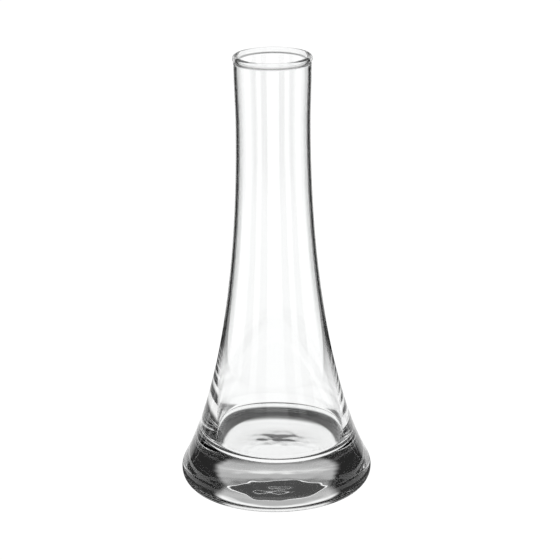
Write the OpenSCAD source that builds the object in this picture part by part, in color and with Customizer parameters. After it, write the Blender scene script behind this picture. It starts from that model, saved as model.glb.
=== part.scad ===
// Bud vase: one piece of clear blown glass. A slender neck opens downwards in a
// long flare to a wide, solid, weighted base. The lip is fire-polished to a bead,
// the heel is rounded, and the underside is hollowed so that only a ring touches
// the table. Origin: centre of the resting face. +Z is up. Millimetres.

/* [Overall] */
// Height from the resting face to the top of the lip
height = 200; // [150:1:260]
// Diameter across the heel, the widest place
base_d = 86.4; // [68:0.1:110]

/* [Neck and lip] */
// Outside diameter at the throat, the narrowest place
throat_d = 33.3; // [26:0.1:42]
// Distance from the top of the lip down to the throat
throat_drop = 33; // [20:0.5:60]
// Outside diameter of the neck just under the lip bead
lip_d = 34.6; // [27:0.1:46]
// Thickness of the rounded bead round the lip
bead_t = 2.8; // [2.2:0.1:4.5]
// How far the middle of the bead lies inside the neck's outer surface
bead_inset = 1.05; // [0.8:0.05:1.4]
// Glass thickness from the lip down to the throat
neck_wall = 1.3; // [0.9:0.05:2]

/* [Flare and heel] */
// Radius of the rounded heel
heel_r = 8.2; // [4:0.1:10]
// Lean of the flare from upright where it leaves the heel, in degrees
heel_lean = 27.4; // [15:0.1:38]
// How far the flare keeps the heel's lean, as a share of its own length
low_pull = 0.25; // [0.1:0.01:0.4]
// How far the flare keeps the throat's upright line, as a share of its own length
high_pull = 0.38; // [0.2:0.01:0.5]

/* [Cavity and solid base] */
// Height of the cavity floor above the resting face, the solid glass of the base
floor_z = 19; // [14:0.5:34]
// Radius of the rounded corner between the cavity wall and the cavity floor
corner_r = 6; // [3:0.5:12]
// Glass thickness at the level of the cavity floor, measured square to the flare
low_wall = 8; // [4:0.1:10]
// How late the wall thickens on its way down: 1 is evenly, 12 is only near the floor
wall_taper = 8; // [1:0.5:12]
// Rise of the cavity floor at its centre
floor_rise = 0.6; // [0:0.1:2]

/* [Underside] */
// Width of the ring that touches the table
ring_w = 8.7; // [4:0.1:16]
// Depth of the hollow inside the ring, at its centre
punt_h = 1.6; // [0.5:0.1:5]

/* [Hidden] */

turn_facets = 96;    // fineness of every turned surface
flare_steps = 24;    // points along the flare, outside and inside
lip_steps = 6;       // points from the throat to the bead
bead_steps = 14;     // points round the bead
heel_steps = 10;     // points round the heel
corner_steps = 8;    // points round the cavity's corner
dome_steps = 8;      // points across the cavity floor and across the hollow underneath
halvings = 24;       // steps of the search for the height where the corner starts
corner_pull = 0.55;  // handle length that makes a cubic curve a near-true quarter round

base_r = base_d / 2;
throat_r = throat_d / 2;
lip_r = lip_d / 2;
bead_r = bead_t / 2;
throat_z = height - throat_drop;
foot_r = base_r - heel_r;                    // where the heel meets the resting ring
punt_r = foot_r - ring_w;                    // where the ring meets the hollow
bead_mid = [lip_r - bead_inset, height - bead_r];
heel_mid = [foot_r, heel_r];

// Point at share t along the curve from a to d, which leaves a towards b and reaches d from c
function curve(a, b, c, d, t) =
    pow(1 - t, 3) * a + 3 * pow(1 - t, 2) * t * b + 3 * (1 - t) * t * t * c + pow(t, 3) * d;

// Direction of travel along the same curve
function curve_dir(a, b, c, d, t) =
    let (v = pow(1 - t, 2) * (b - a) + 2 * (1 - t) * t * (c - b) + t * t * (d - c)) v / norm(v);

// Points round an arc about mid, from angle a0 to angle a1 in degrees
function arc(mid, r, a0, a1, steps) =
    [for (i = [0:steps]) let (a = a0 + (a1 - a0) * i / steps) mid + r * [cos(a), sin(a)]];

// A low swelling of radius r and height h on the level z: half a wave, level at its
// centre and at its rim. s runs from 0 at the centre to 1 at the rim.
function swelling(r, h, z, s) = [s * r, z + h * (1 + cos(180 * s)) / 2];

// The flare's outer line, from the heel (t = 0) up to the throat (t = 1)
flare_start = heel_mid + heel_r * [cos(heel_lean), sin(heel_lean)];
flare_end = [throat_r, throat_z];
flare_len = norm(flare_end - flare_start);
flare_low = flare_start + low_pull * flare_len * [-sin(heel_lean), cos(heel_lean)];
flare_high = flare_end - high_pull * flare_len * [0, 1];
function flare(t) = curve(flare_start, flare_low, flare_high, flare_end, t);
function flare_up(t) = curve_dir(flare_start, flare_low, flare_high, flare_end, t);

// The neck's outer line, from the throat (t = 0) up to the bead (t = 1)
bead_out_a = -acos((lip_r - bead_mid[0]) / bead_r);
bead_in_a = 180 + acos((bead_mid[0] - lip_r + neck_wall) / bead_r);
neck_end = bead_mid + bead_r * [cos(bead_out_a), sin(bead_out_a)];
neck_pull = (neck_end[1] - throat_z) / 3;
function neck(t) =
    curve(flare_end, flare_end + [0, neck_pull], neck_end - [0, neck_pull], neck_end, t);

// Glass thickness at height z: neck_wall at the throat, low_wall at the cavity floor
function wall(z) =
    let (down = max(0, (throat_z - z) / (throat_z - floor_z)))
    neck_wall + (low_wall - neck_wall) * pow(down, wall_taper);

// The cavity's line: the flare's line moved squarely inwards by the wall
function cavity(t) =
    let (up = flare_up(t))
    flare(t) + wall(flare(t)[1]) * [-up[1], up[0]];

// Share t at which the cavity's line passes height z, found by halving
function share_at(z, lo = 0, hi = 1, n = halvings) =
    n == 0 ? (lo + hi) / 2
    : cavity((lo + hi) / 2)[1] < z ? share_at(z, (lo + hi) / 2, hi, n - 1)
    : share_at(z, lo, (lo + hi) / 2, n - 1);
corner_t = share_at(floor_z + corner_r);
corner_start = cavity(corner_t);
corner_end = [corner_start[0] - corner_r, floor_z];

module glass_vase() {
    color([0.88, 0.93, 0.93, 0.35])
    rotate_extrude($fn = turn_facets)
    polygon(concat(
        punt_line(), [[foot_r, 0]], heel_line(), flare_line(), neck_line(),
        bead_line(), bore_line(), cavity_line(), corner_line(), floor_line()
    ));
}

// Hollow under the base, from its centre out to the resting ring
function punt_line() =
    [for (i = [0:dome_steps]) swelling(punt_r, punt_h, 0, i / dome_steps)];

// Rounded heel, between the resting ring and the flare
function heel_line() =
    [for (i = [1:heel_steps - 1]) let (a = -90 + (90 + heel_lean) * i / heel_steps)
        heel_mid + heel_r * [cos(a), sin(a)]];

function flare_line() = [for (i = [0:flare_steps]) flare(i / flare_steps)];

function neck_line() = [for (i = [1:lip_steps - 1]) neck(i / lip_steps)];

// Bead, over the top of the lip from the outside to the inside
function bead_line() = arc(bead_mid, bead_r, bead_out_a, bead_in_a, bead_steps);

// Bore of the neck, from the bead down to the throat
function bore_line() =
    [for (i = [lip_steps - 1:-1:1]) neck(i / lip_steps) - [neck_wall, 0]];

// Cavity wall, from the throat down to the corner
function cavity_line() =
    [for (i = [0:flare_steps]) cavity(1 - (1 - corner_t) * i / flare_steps)];

// Rounded corner, from the cavity wall round to the cavity floor
function corner_line() =
    let (handle = corner_pull * corner_r)
    [for (i = [1:corner_steps])
        curve(corner_start, corner_start - handle * flare_up(corner_t),
              corner_end + [handle, 0], corner_end, i / corner_steps)];

// Cavity floor, from the corner in to its centre
function floor_line() =
    [for (i = [dome_steps - 1:-1:0]) swelling(corner_end[0], floor_rise, floor_z, i / dome_steps)];

glass_vase();
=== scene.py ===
"""A clear glass bud vase on a pale light table, with the studio round it.

The vase is one turned skin: a half section is worked out as a line of points, which is
then carried once round the upright axis. Lengths are in metres and angles in degrees,
unless a name says otherwise. The origin is the centre of the resting face, and +Z is up.
"""

import bpy
import numpy as np
from mathutils import Matrix, Vector


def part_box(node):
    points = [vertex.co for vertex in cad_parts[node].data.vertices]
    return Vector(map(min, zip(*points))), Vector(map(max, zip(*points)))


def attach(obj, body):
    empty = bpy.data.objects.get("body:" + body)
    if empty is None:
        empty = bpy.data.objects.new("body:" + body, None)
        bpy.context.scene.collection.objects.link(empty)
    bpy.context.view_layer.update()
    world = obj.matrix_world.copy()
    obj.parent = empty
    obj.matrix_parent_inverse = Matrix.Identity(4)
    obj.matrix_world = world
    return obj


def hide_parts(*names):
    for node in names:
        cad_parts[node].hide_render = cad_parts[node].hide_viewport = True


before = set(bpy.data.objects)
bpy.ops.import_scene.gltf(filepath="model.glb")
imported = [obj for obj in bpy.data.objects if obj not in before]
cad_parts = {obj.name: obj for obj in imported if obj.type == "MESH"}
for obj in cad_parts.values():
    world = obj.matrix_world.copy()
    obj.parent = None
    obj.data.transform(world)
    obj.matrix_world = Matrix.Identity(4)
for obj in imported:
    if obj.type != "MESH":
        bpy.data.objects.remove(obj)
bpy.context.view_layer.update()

MM = 0.001

# ---------------------------------------------------------------- sizes of the vase
box_low, box_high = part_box("glass_vase")
HEIGHT = box_high[2]
BASE_R = (box_high[1] - box_low[1]) / 2

THROAT_R = 16.65 * MM       # outer radius at the narrowest place
THROAT_DROP = 33 * MM       # from the top of the lip down to the throat
LIP_R = 17.3 * MM           # outer radius just under the bead
BEAD_R = 1.4 * MM           # half the bead's thickness
BEAD_INSET = 1.05 * MM      # middle of the bead, inside the neck's outer surface
NECK_WALL = 1.3 * MM        # glass thickness down to the throat
HEEL_R = 8.2 * MM           # radius of the rounded heel
HEEL_LEAN = 27.4            # lean of the flare where it leaves the heel
LOW_PULL = 0.25             # how far the flare keeps the heel's lean
HIGH_PULL = 0.38            # how far the flare keeps the throat's upright line
FLOOR_Z = 19 * MM           # solid glass under the cavity
CORNER_R = 6 * MM           # rounded corner of the cavity
CORNER_PULL = 0.55          # handle length that makes a cubic curve a near-true quarter round
LOW_WALL = 8 * MM           # glass thickness at the level of the cavity floor
WALL_TAPER = 8              # how late the wall thickens on its way down
FLOOR_RISE = 0.6 * MM       # swelling of the cavity floor
RING_W = 8.7 * MM           # width of the ring that touches the table
PUNT_H = 1.6 * MM           # depth of the hollow inside that ring

THROAT_Z = HEIGHT - THROAT_DROP
FOOT_R = BASE_R - HEEL_R
PUNT_R = FOOT_R - RING_W

# ---------------------------------------------------------------- marks of hand work
CAVITY_SHIFT = 1.2 * MM     # how far the cavity stands off centre at its floor
SHIFT_TOP = 60 * MM         # height above which the cavity is central
CHILL_DEPTH = 0.02 * MM     # wrinkles in the hollow underneath, where the hot glass was set down
CHILL_PITCH = 7 * MM        # usual spacing of those wrinkles
FLOOR_DEPTH = 0.01 * MM     # slow waves in the cavity floor
FLOOR_PITCH = 16 * MM       # usual spacing of those waves
WAVE_COUNT = 16             # plane waves that are added up for each kind
WAVE_PACES = (0.6, 1.6)     # slowest and quickest wave, as shares of the usual pace
WAVE_SEED = 3
CHILL_FADE = 1 / 3          # share of the hollow's radius over which the wrinkles fade out
FLOOR_REACH = 0.75 * MM     # the floor's waves run this far up its corner, and end there in a step

# ---------------------------------------------------------------- fineness
TURN_STEPS = 160            # points round the vase
PUNT_STEPS = 60             # points from the centre of the underside to the ring
RING_STEPS = 8
HEEL_STEPS = 40
FLARE_STEPS = 150
NECK_STEPS = 24
BEAD_STEPS = 40
BORE_GAP = 0.25             # the bore's points stop this share of BEAD_R under the bead
CAVITY_STEPS = 680          # places tried along the flare for the cavity's wall
CAVITY_KEEP = 4             # every fourth of them becomes a point
CORNER_STEPS = 30
FLOOR_STEPS = 50


# ---------------------------------------------------------------- curves
def polar(angle):
    """Unit vectors in the half section, at angles measured up from the outward direction."""
    a = np.radians(np.asarray(angle, float))
    return np.stack([np.cos(a), np.sin(a)], axis=-1)


def curve(a, b, c, d, t):
    """Cubic curve from a to d, which leaves a towards b and reaches d from c."""
    t = np.asarray(t, float)[:, None]
    return (1 - t) ** 3 * a + 3 * (1 - t) ** 2 * t * b + 3 * (1 - t) * t ** 2 * c + t ** 3 * d


def curve_direction(a, b, c, d, t):
    """Unit direction of travel along the same cubic curve: its derivative, made one long."""
    t = np.asarray(t, float)[:, None]
    v = (1 - t) ** 2 * (b - a) + 2 * (1 - t) * t * (c - b) + t ** 2 * (d - c)
    return v / np.linalg.norm(v, axis=1)[:, None]


def swelling(radius, rise, level, steps):
    """Half a cosine wave over a disc: level + rise * (1 + cos(pi s)) / 2, s from centre to rim."""
    s = np.linspace(0, 1, steps)
    return np.stack([s * radius, level + rise * (1 + np.cos(np.pi * s)) / 2], axis=1)


# ---------------------------------------------------------------- the half section
def outer_line():
    """Heel, flare and neck, from the resting ring up to the bead.

    The heel is an arc of HEEL_R, given as points. The flare is one cubic curve that keeps the
    heel's lean at its foot and stands upright at the throat. The neck is a cubic curve with
    upright ends. Both curves are given as their four control points.
    """
    heel_mid = np.array([FOOT_R, HEEL_R])
    heel = heel_mid + HEEL_R * polar(np.linspace(-90, HEEL_LEAN, HEEL_STEPS))
    return heel, flare_curve(heel_mid), neck_curve()


def flare_curve(heel_mid):
    """The four control points of the flare, from the heel up to the throat."""
    start = heel_mid + HEEL_R * polar(HEEL_LEAN)
    end = np.array([THROAT_R, THROAT_Z])
    length = np.linalg.norm(end - start)
    low = start + LOW_PULL * length * polar(HEEL_LEAN + 90)
    high = end - HIGH_PULL * length * np.array([0, 1])
    return start, low, high, end


def neck_curve():
    """The four control points of the neck, from the throat up to the bead."""
    start = np.array([THROAT_R, THROAT_Z])
    end = bead_middle() + BEAD_R * polar(bead_angles()[0])
    pull = np.array([0, (end[1] - start[1]) / 3])
    return start, start + pull, end - pull, end


def bead_middle():
    """Centre of the bead's round section."""
    return np.array([LIP_R - BEAD_INSET, HEIGHT - BEAD_R])


def bead_angles():
    """Where the bead meets the neck's outer surface, and where it meets the bore."""
    outside = -np.degrees(np.arccos(BEAD_INSET / BEAD_R))
    inside = 180 + np.degrees(np.arccos((NECK_WALL - BEAD_INSET) / BEAD_R))
    return outside, inside


def cavity_line(flare):
    """Cavity wall and its rounded corner, from the throat down to the floor.

    The wall is the flare moved squarely inwards by the glass thickness, which grows from
    NECK_WALL to LOW_WALL as the WALL_TAPER power of the way down. The corner is a quarter
    round that leaves the wall along its own direction and reaches the floor level.
    """
    t = np.linspace(1, 0, CAVITY_STEPS)
    up = curve_direction(*flare, t)
    line = curve(*flare, t)
    down = np.clip((THROAT_Z - line[:, 1]) / (THROAT_Z - FLOOR_Z), 0, None)
    wall = NECK_WALL + (LOW_WALL - NECK_WALL) * down ** WALL_TAPER
    line = line + wall[:, None] * np.stack([-up[:, 1], up[:, 0]], axis=1)
    above = line[:, 1] > FLOOR_Z + CORNER_R
    line, up = line[above][::CAVITY_KEEP], up[above][::CAVITY_KEEP]
    start = line[-1]
    end = np.array([start[0] - CORNER_R, FLOOR_Z])
    reach = CORNER_PULL * CORNER_R
    share = np.linspace(0, 1, CORNER_STEPS)
    corner = curve(start, start - reach * up[-1], end + [reach, 0], end, share)
    return np.concatenate([line, corner[1:]])


def half_section():
    """The closed section's points from the underside's centre round to the floor's centre.

    Returns the points, how many of them lie on the underside, and where the inside begins.
    """
    heel, flare, neck = outer_line()
    punt = swelling(PUNT_R, PUNT_H, 0, PUNT_STEPS)
    ring = np.linspace([PUNT_R, 0], [FOOT_R, 0], RING_STEPS)[1:-1]
    flare_out = curve(*flare, np.linspace(0, 1, FLARE_STEPS))[1:]
    neck_out = curve(*neck, np.linspace(0, 1, NECK_STEPS))[1:]
    bead = bead_middle() + BEAD_R * polar(np.linspace(*bead_angles(), BEAD_STEPS))[1:]
    bore = neck_out[::-1] - [NECK_WALL, 0]
    bore = bore[bore[:, 1] < bead[-1, 1] - BEAD_R * BORE_GAP]
    cavity = cavity_line(flare)
    floor = swelling(cavity[-1, 0], FLOOR_RISE, FLOOR_Z, FLOOR_STEPS)[::-1][1:]
    under = np.concatenate([punt, ring])
    outside = np.concatenate([under, heel, flare_out, neck_out, bead])
    line = np.concatenate([outside, bore, cavity, floor])
    return line, len(under), len(outside)


# ---------------------------------------------------------------- the turned skin
def plane_waves(x, y, pitch, rng):
    """Sum of WAVE_COUNT plane waves in seeded directions, spacings and phases, about 1 high."""
    turn = rng.uniform(0, 2 * np.pi, WAVE_COUNT)
    pace = 2 * np.pi / pitch * rng.uniform(*WAVE_PACES, WAVE_COUNT)
    phase = rng.uniform(0, 2 * np.pi, WAVE_COUNT)
    along = np.cos(turn) * x[..., None] + np.sin(turn) * y[..., None]
    return np.sin(pace * along + phase).sum(axis=-1) / np.sqrt(WAVE_COUNT)


def turned_skin():
    """The half section carried round the axis: x = r cos a + shift, y = r sin a, z = z.

    The shift moves only the inside, and grows smoothly from nothing at SHIFT_TOP to
    CAVITY_SHIFT at the floor. The hollow underneath gets its wrinkles here, faded out towards
    its rim. The cavity floor gets its slow waves, which are not faded: they end in a small
    step on the cavity's corner.
    """
    line, under_count, inside_start = half_section()
    rng = np.random.default_rng(WAVE_SEED)
    a = np.linspace(0, 2 * np.pi, TURN_STEPS, endpoint=False)
    r, z = line[:, :1], np.repeat(line[:, 1:], TURN_STEPS, axis=1)
    x, y = r * np.cos(a), r * np.sin(a)
    order = np.arange(len(line))[:, None]
    fade = np.clip((SHIFT_TOP - z) / (SHIFT_TOP - FLOOR_Z), 0, 1)
    x = x + CAVITY_SHIFT * fade ** 2 * (3 - 2 * fade) * (order >= inside_start)
    rim = np.clip((PUNT_R - r) / (PUNT_R * CHILL_FADE), 0, 1) * (order < under_count)
    z = z + CHILL_DEPTH * rim * plane_waves(x, y, CHILL_PITCH, rng)
    on_floor = (order >= inside_start) & (z < FLOOR_Z + FLOOR_RISE + FLOOR_REACH)
    z = z + FLOOR_DEPTH * on_floor * plane_waves(x, y, FLOOR_PITCH, rng)
    return np.stack([x, y, z], axis=-1)


def closed_mesh(name, grid):
    """A mesh from a grid whose first and last rows are single points, closed round its columns."""
    rows, columns = grid.shape[:2]
    points = np.concatenate([grid[0, :1], grid[1:-1].reshape(-1, 3), grid[-1, :1]])
    j = np.arange(columns)
    k = (j + 1) % columns
    i = 1 + np.arange(rows - 3)[:, None] * columns
    quads = np.stack([i + j, i + k, i + columns + k, i + columns + j], axis=-1).reshape(-1, 4)
    last = 1 + (rows - 3) * columns
    foot = np.stack([np.zeros_like(j), 1 + k, 1 + j], axis=-1)
    top = np.stack([np.full_like(j, last + columns), last + j, last + k], axis=-1)
    mesh = bpy.data.meshes.new(name)
    mesh.from_pydata(points.tolist(), [], quads.tolist() + foot.tolist() + top.tolist())
    mesh.polygons.foreach_set("use_smooth", np.ones(len(mesh.polygons), bool))
    mesh.update()
    return mesh


def add_object(name, mesh):
    """A new object at the origin that shows the mesh."""
    thing = bpy.data.objects.new(name, mesh)
    bpy.context.scene.collection.objects.link(thing)
    return thing


# ---------------------------------------------------------------- glass
GLASS_IOR = 1.5
TINT_DEEP = (0.985, 0.992, 0.990, 1)     # the least clear patches of the glass
TINT_CLEAR = (0.999, 1.0, 1.0, 1)        # the clearest
TINT_SCALE = 25             # tint patches per metre
CORD_SCALE = (90, 90, 6)    # cords per metre across and along the neck
CORD_STRENGTH = 0.02
CORD_DEPTH = 0.05 * MM


def clear_glass():
    """Clear glass with faint cords drawn down the neck, and a slight unevenness of tint."""
    material = bpy.data.materials.new("clear_glass")
    material.use_nodes = True
    nodes, links = material.node_tree.nodes, material.node_tree.links
    glass = nodes["Principled BSDF"]
    glass.inputs["Transmission Weight"].default_value = 1
    glass.inputs["Roughness"].default_value = 0
    glass.inputs["IOR"].default_value = GLASS_IOR
    place = nodes.new("ShaderNodeTexCoord")
    tint_noise = nodes.new("ShaderNodeTexNoise")
    tint_noise.inputs["Scale"].default_value = TINT_SCALE
    links.new(place.outputs["Object"], tint_noise.inputs["Vector"])
    tint = nodes.new("ShaderNodeValToRGB")
    tint.color_ramp.elements[0].color = TINT_DEEP
    tint.color_ramp.elements[1].color = TINT_CLEAR
    links.new(tint_noise.outputs["Fac"], tint.inputs["Fac"])
    links.new(tint.outputs["Color"], glass.inputs["Base Color"])
    stretch = nodes.new("ShaderNodeMapping")
    stretch.inputs["Scale"].default_value = CORD_SCALE
    links.new(place.outputs["Object"], stretch.inputs["Vector"])
    cords = nodes.new("ShaderNodeTexNoise")
    cords.inputs["Scale"].default_value = 1
    cords.inputs["Detail"].default_value = 1
    links.new(stretch.outputs["Vector"], cords.inputs["Vector"])
    relief = nodes.new("ShaderNodeBump")
    relief.inputs["Strength"].default_value = CORD_STRENGTH
    relief.inputs["Distance"].default_value = CORD_DEPTH
    links.new(cords.outputs["Fac"], relief.inputs["Height"])
    links.new(relief.outputs["Normal"], glass.inputs["Normal"])
    return material


# ---------------------------------------------------------------- studio
TABLE_LIGHT = 1.05          # brightness of the light table and of the far white
TABLE_SIZE = 6.0            # from its middle to each side
TABLE_Z = -0.4 * MM         # the glass ring stands just clear of it
CARD_Z = -0.2 * MM          # the dark cards and the painted shadow ring lie between the table and the glass
# The painted shadow ring: painted shade on the table round the foot, seen only by the glass
SHADOW_RING_DARK = 0.07            # the painted shadow's brightness where it is darkest
SHADOW_RING_IN = (33 * MM, 38 * MM)        # soft inner edge
SHADOW_RING_OUT = (62 * MM, 66 * MM)       # soft outer edge
RING_ROWS, RING_TURN = 60, 96       # points across and round
# The fan cards: as light as the table at the first distance, and fully dark from the second
FAN_BEHIND = (90 * MM, 200 * MM)    # behind the vase
FAN_ROUND = (200 * MM, 400 * MM)    # at its sides and in front
FAN_END = 1.4
FAN_EDGE = -5 * MM          # a near side, carried back to the vase, passes its middle by this
FAN_SLOPE = 0.34            # how much wider the strip gets on each side, per length
FAN_SPREAD = 38             # angle of a fan card's far side
FAN_STEPS = 40
CARD_DARK = 0.025           # their brightness where they are darkest
WIDE_DARK = 0.03            # the same, for the cards on the outer side of the pair behind the vase
# The dome
DOME_R = 5.0
DOME_LIGHT = 1.05           # its brightness at the horizon, behind the vase
DOME_DARK = 0.02            # its brightness where it is darkest
DOME_FRONT = 40             # in front of the vase it is as dim as this many degrees higher up
DOME_FADES = ((0.55, 6, 20), (0.38, 24, 40))    # share of light lost, between two rises in degrees
DOME_LOBE = (22, 28)        # soft edge of each lit lobe, in degrees from its middle
DOME_ROWS, DOME_TURN = 61, 240      # points up and round


def glow(name, strength=None):
    """Light given off by a sheet: even, or without a strength, by the sheet's own attribute."""
    material = bpy.data.materials.new(name)
    material.use_nodes = True
    nodes, links = material.node_tree.nodes, material.node_tree.links
    nodes.clear()
    light = nodes.new("ShaderNodeEmission")
    out = nodes.new("ShaderNodeOutputMaterial")
    links.new(light.outputs["Emission"], out.inputs["Surface"])
    if strength is None:
        level = nodes.new("ShaderNodeAttribute")
        level.attribute_name = "level"
        links.new(level.outputs["Fac"], light.inputs["Strength"])
    else:
        light.inputs["Strength"].default_value = strength
    return material


def smooth_step(value, low, high):
    """0 below low, 1 above high, and 3 t^2 - 2 t^3 between them."""
    t = np.clip((value - low) / (high - low), 0, 1)
    return t * t * (3 - 2 * t)


def sheet_mesh(name, grid, closed=False):
    """A sheet from a grid of points. Where it is closed, its last column meets its first."""
    rows, columns = grid.shape[:2]
    j = np.arange(columns if closed else columns - 1)
    k = (j + 1) % columns
    i = np.arange(rows - 1)[:, None] * columns
    quads = np.stack([i + j, i + k, i + columns + k, i + columns + j], axis=-1)
    mesh = bpy.data.meshes.new(name)
    mesh.from_pydata(grid.reshape(-1, 3).tolist(), [], quads.reshape(-1, 4).tolist())
    mesh.update()
    return mesh


def glowing_sheet(name, grid, level, closed):
    """A sheet seen by the glass only, with its own brightness at every point."""
    sheet = add_object(name, sheet_mesh(name, grid, closed))
    sheet.data.attributes.new("level", "FLOAT", "POINT").data.foreach_set("value", level.ravel())
    sheet.data.materials.append(glow(name))
    sheet.visible_camera = False


def painted_shadow_ring():
    """Painted shadow on the table round the foot, as a flat glowing ring: x = r sin a, y = r cos
    a.

    It is dark in the middle of its width and as bright as the table at both edges: painted shade
    where the foot's shadow lies, seen only by the glass.
    """
    r = np.linspace(SHADOW_RING_IN[0], SHADOW_RING_OUT[1], RING_ROWS)[:, None]
    a = np.linspace(0, 2 * np.pi, RING_TURN, endpoint=False)
    grid = np.stack([r * np.sin(a), r * np.cos(a), CARD_Z + 0 * r * a], axis=-1)
    # painted shadow round the foot: darkest across the ring's middle, fading to the table's
    # brightness at both edges
    dark = smooth_step(r, *SHADOW_RING_IN) * (1 - smooth_step(r, *SHADOW_RING_OUT))
    level = TABLE_LIGHT + (SHADOW_RING_DARK - TABLE_LIGHT) * dark + 0 * a
    glowing_sheet("painted_shadow_ring", grid, level, closed=True)


def fan_card(name, quarter, near, far, strength):
    """Flat card that fans outwards over the table, turned by whole quarters.

    near and far give its two long sides as (x at the vase, growth of x along y). Between
    them x goes evenly from one side to the other, and y runs from its start to FAN_END in
    even ratios. Its brightness goes smoothly from the table's to strength over the first
    stretch. The cards behind the vase, in quarter 0, start nearer than the others.
    """
    start, full = FAN_BEHIND if quarter == 0 else FAN_ROUND
    y = np.geomspace(start, FAN_END, FAN_STEPS)[:, None]
    across = np.linspace(0, 1, 2)[None, :]
    x = near[0] + near[1] * y + across * (far[0] - near[0] + (far[1] - near[1]) * y)
    level = TABLE_LIGHT + (strength - TABLE_LIGHT) * smooth_step(y, start, full)
    y = y + 0 * x
    c, s = np.cos(quarter * np.pi / 2), np.sin(quarter * np.pi / 2)
    grid = np.stack([c * x + s * y, c * y - s * x, CARD_Z + 0 * x], axis=-1)
    glowing_sheet(name, grid, level + 0 * x, closed=False)


def fan_cards():
    """A pair of dark cards along each of the four ways, and two more behind the vase."""
    spread = np.tan(np.radians(FAN_SPREAD))
    for quarter in range(4):
        for side in (-1, 1):
            near, far = (side * FAN_EDGE, side * FAN_SLOPE), (0, side * spread)
            fan_card(f"fan_card_{quarter}_{side}", quarter, near, far, CARD_DARK)
    for side in (-1, 1):
        fan_card(f"wide_card_{side}", 0, (0, side * spread), (0, side / spread), WIDE_DARK)


def dome():
    """A half sphere of soft light: x = R cos e sin a, y = R cos e cos a, z = R sin e.

    It is lit in two broad lobes, one behind the vase and one in front, and dark elsewhere, so
    that the glass has something dark to show along its edges. The lobe behind is brightest at
    the horizon and fades upwards. The one in front is as dim as the other is DOME_FRONT
    degrees higher up.
    """
    e = np.radians(np.linspace(0, 90, DOME_ROWS))[:, None]
    a = np.radians(np.linspace(0, 360, DOME_TURN, endpoint=False))[None, :]
    across, along = np.cos(e) * np.sin(a), np.cos(e) * np.cos(a)
    grid = DOME_R * np.stack([across, along, np.sin(e) + 0 * a], axis=-1)
    rise = np.degrees(e) + DOME_FRONT * (np.cos(a) < 0)
    fade = 1 - sum(loss * smooth_step(rise, low, high) for loss, low, high in DOME_FADES)
    from_middle = np.abs((np.degrees(a) + 90) % 180 - 90)
    lobe = 1 - smooth_step(from_middle, *DOME_LOBE)
    level = DOME_DARK + (DOME_LIGHT - DOME_DARK) * fade * lobe
    glowing_sheet("light_dome", grid, level, closed=True)


def studio():
    """Light table, a painted shadow ring round the foot, dark cards, dome and a white world behind
    them all.
    """
    side = np.linspace(-TABLE_SIZE, TABLE_SIZE, 2)
    x, y = np.meshgrid(side, side)
    flat = np.stack([x, y, x * 0 + TABLE_Z], axis=-1)
    table = add_object("light_table", sheet_mesh("light_table", flat))
    table.data.materials.append(glow("light_table", TABLE_LIGHT))
    # painted shadow round the foot, seen only by the glass
    painted_shadow_ring()
    fan_cards()
    dome()
    world = bpy.data.worlds.new("white")
    world.use_nodes = True
    world.node_tree.nodes["Background"].inputs["Color"].default_value = (1, 1, 1, 1)
    world.node_tree.nodes["Background"].inputs["Strength"].default_value = TABLE_LIGHT
    bpy.context.scene.world = world


# ---------------------------------------------------------------- camera
CAMERA_AT = Vector((0, -1.05, 0.4415))
CAMERA_AIM = Vector((0.0024, 0, 0.0969))
CAMERA_ROLL = -0.0095       # radians
CAMERA_LENS = 158.57        # millimetres
CAMERA_FRAME = 36           # width of the frame, in millimetres
CAMERA_NEAR = 0.01


def camera():
    """A long lens that looks down on the vase from the front."""
    data = bpy.data.cameras.new("camera")
    data.lens, data.sensor_width, data.clip_start = CAMERA_LENS, CAMERA_FRAME, CAMERA_NEAR
    view = add_object("camera", data)
    look = (CAMERA_AIM - CAMERA_AT).to_track_quat("-Z", "Y").to_matrix().to_4x4()
    view.matrix_world = Matrix.Translation(CAMERA_AT) @ look @ Matrix.Rotation(CAMERA_ROLL, 4, "Z")
    bpy.context.scene.camera = view


# ---------------------------------------------------------------- making
THROUGH_BOUNCES = 24        # how often light may turn in all, and in passing through glass
MIRROR_BOUNCES = 16         # how often it may be mirrored, or pass an unseen sheet

camera()
studio()

vase = add_object("blown_glass_vase", closed_mesh("blown_glass_vase", turned_skin()))
vase.data.materials.append(clear_glass())
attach(vase, "root")
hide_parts("glass_vase")

scene = bpy.context.scene
scene.view_settings.view_transform = "Standard"
scene.cycles.max_bounces = THROUGH_BOUNCES
scene.cycles.transmission_bounces = THROUGH_BOUNCES
scene.cycles.glossy_bounces = MIRROR_BOUNCES
scene.cycles.transparent_max_bounces = MIRROR_BOUNCES
